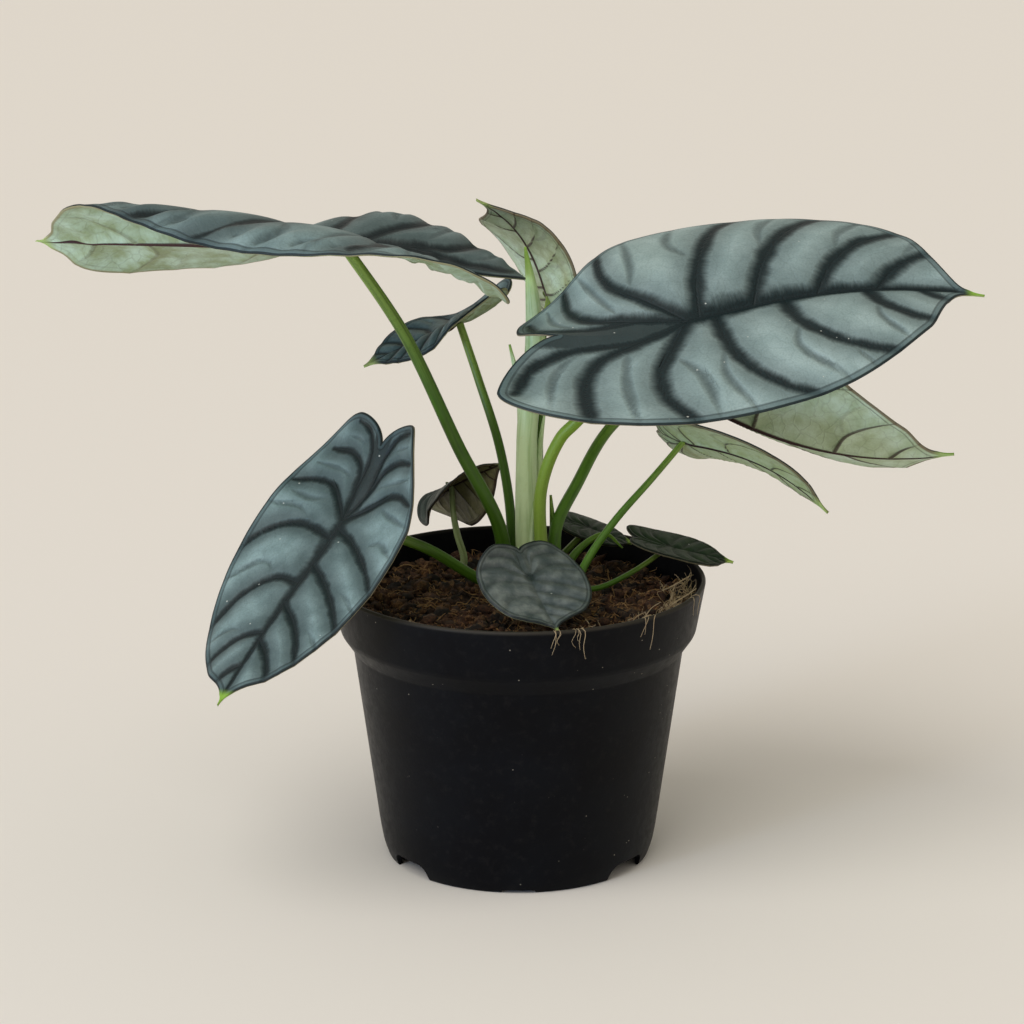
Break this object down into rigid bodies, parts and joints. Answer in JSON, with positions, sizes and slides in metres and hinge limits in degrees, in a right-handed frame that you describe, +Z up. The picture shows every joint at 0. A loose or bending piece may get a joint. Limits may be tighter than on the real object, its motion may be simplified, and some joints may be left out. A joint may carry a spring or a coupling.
{
  "type": "potted plant",
  "caption": "Small potted aroid: thick silver-grey shield leaves with dark vein bands on green stalks, in a black nursery pot filled with rough peat.",
  "frame": {"origin": "middle of the pot's foot, on the surface that the pot stands on", "axes": "+Z up along the pot's axis, +X to the viewer's right, -Y towards the viewer, so the large right leaf points to +X"},
  "size_m": [0.3018, 0.1486, 0.2149],
  "materials": {
    "pot": "satin",
    "soil": "matte",
    "stem": "matte",
    "blade": "satin",
    "stalk": "satin",
    "new_leaf": "satin"
  },
  "bodies": {
    "root": {"pot": "pot", "soil": "soil", "stem": "stem", "leaf_left": "blade", "stalk_left": "stalk", "leaf_right": "blade", "stalk_right": "stalk", "leaf_right_behind": "blade", "stalk_right_behind": "stalk", "leaf_right_low": "blade", "stalk_right_low": "stalk", "leaf_top": "blade", "stalk_top": "stalk", "leaf_middle_left": "blade", "stalk_middle_left": "stalk", "leaf_front_left": "blade", "stalk_front_left": "stalk", "leaf_front_small": "blade", "stalk_front_small": "stalk", "leaf_back_left": "blade", "stalk_back_left": "stalk", "leaf_right_rim": "blade", "stalk_right_rim": "stalk", "leaf_back_small": "blade", "stalk_back_small": "stalk", "new_leaf": "new_leaf", "scale_leaf": "stalk"}
  },
  "joints": []
}
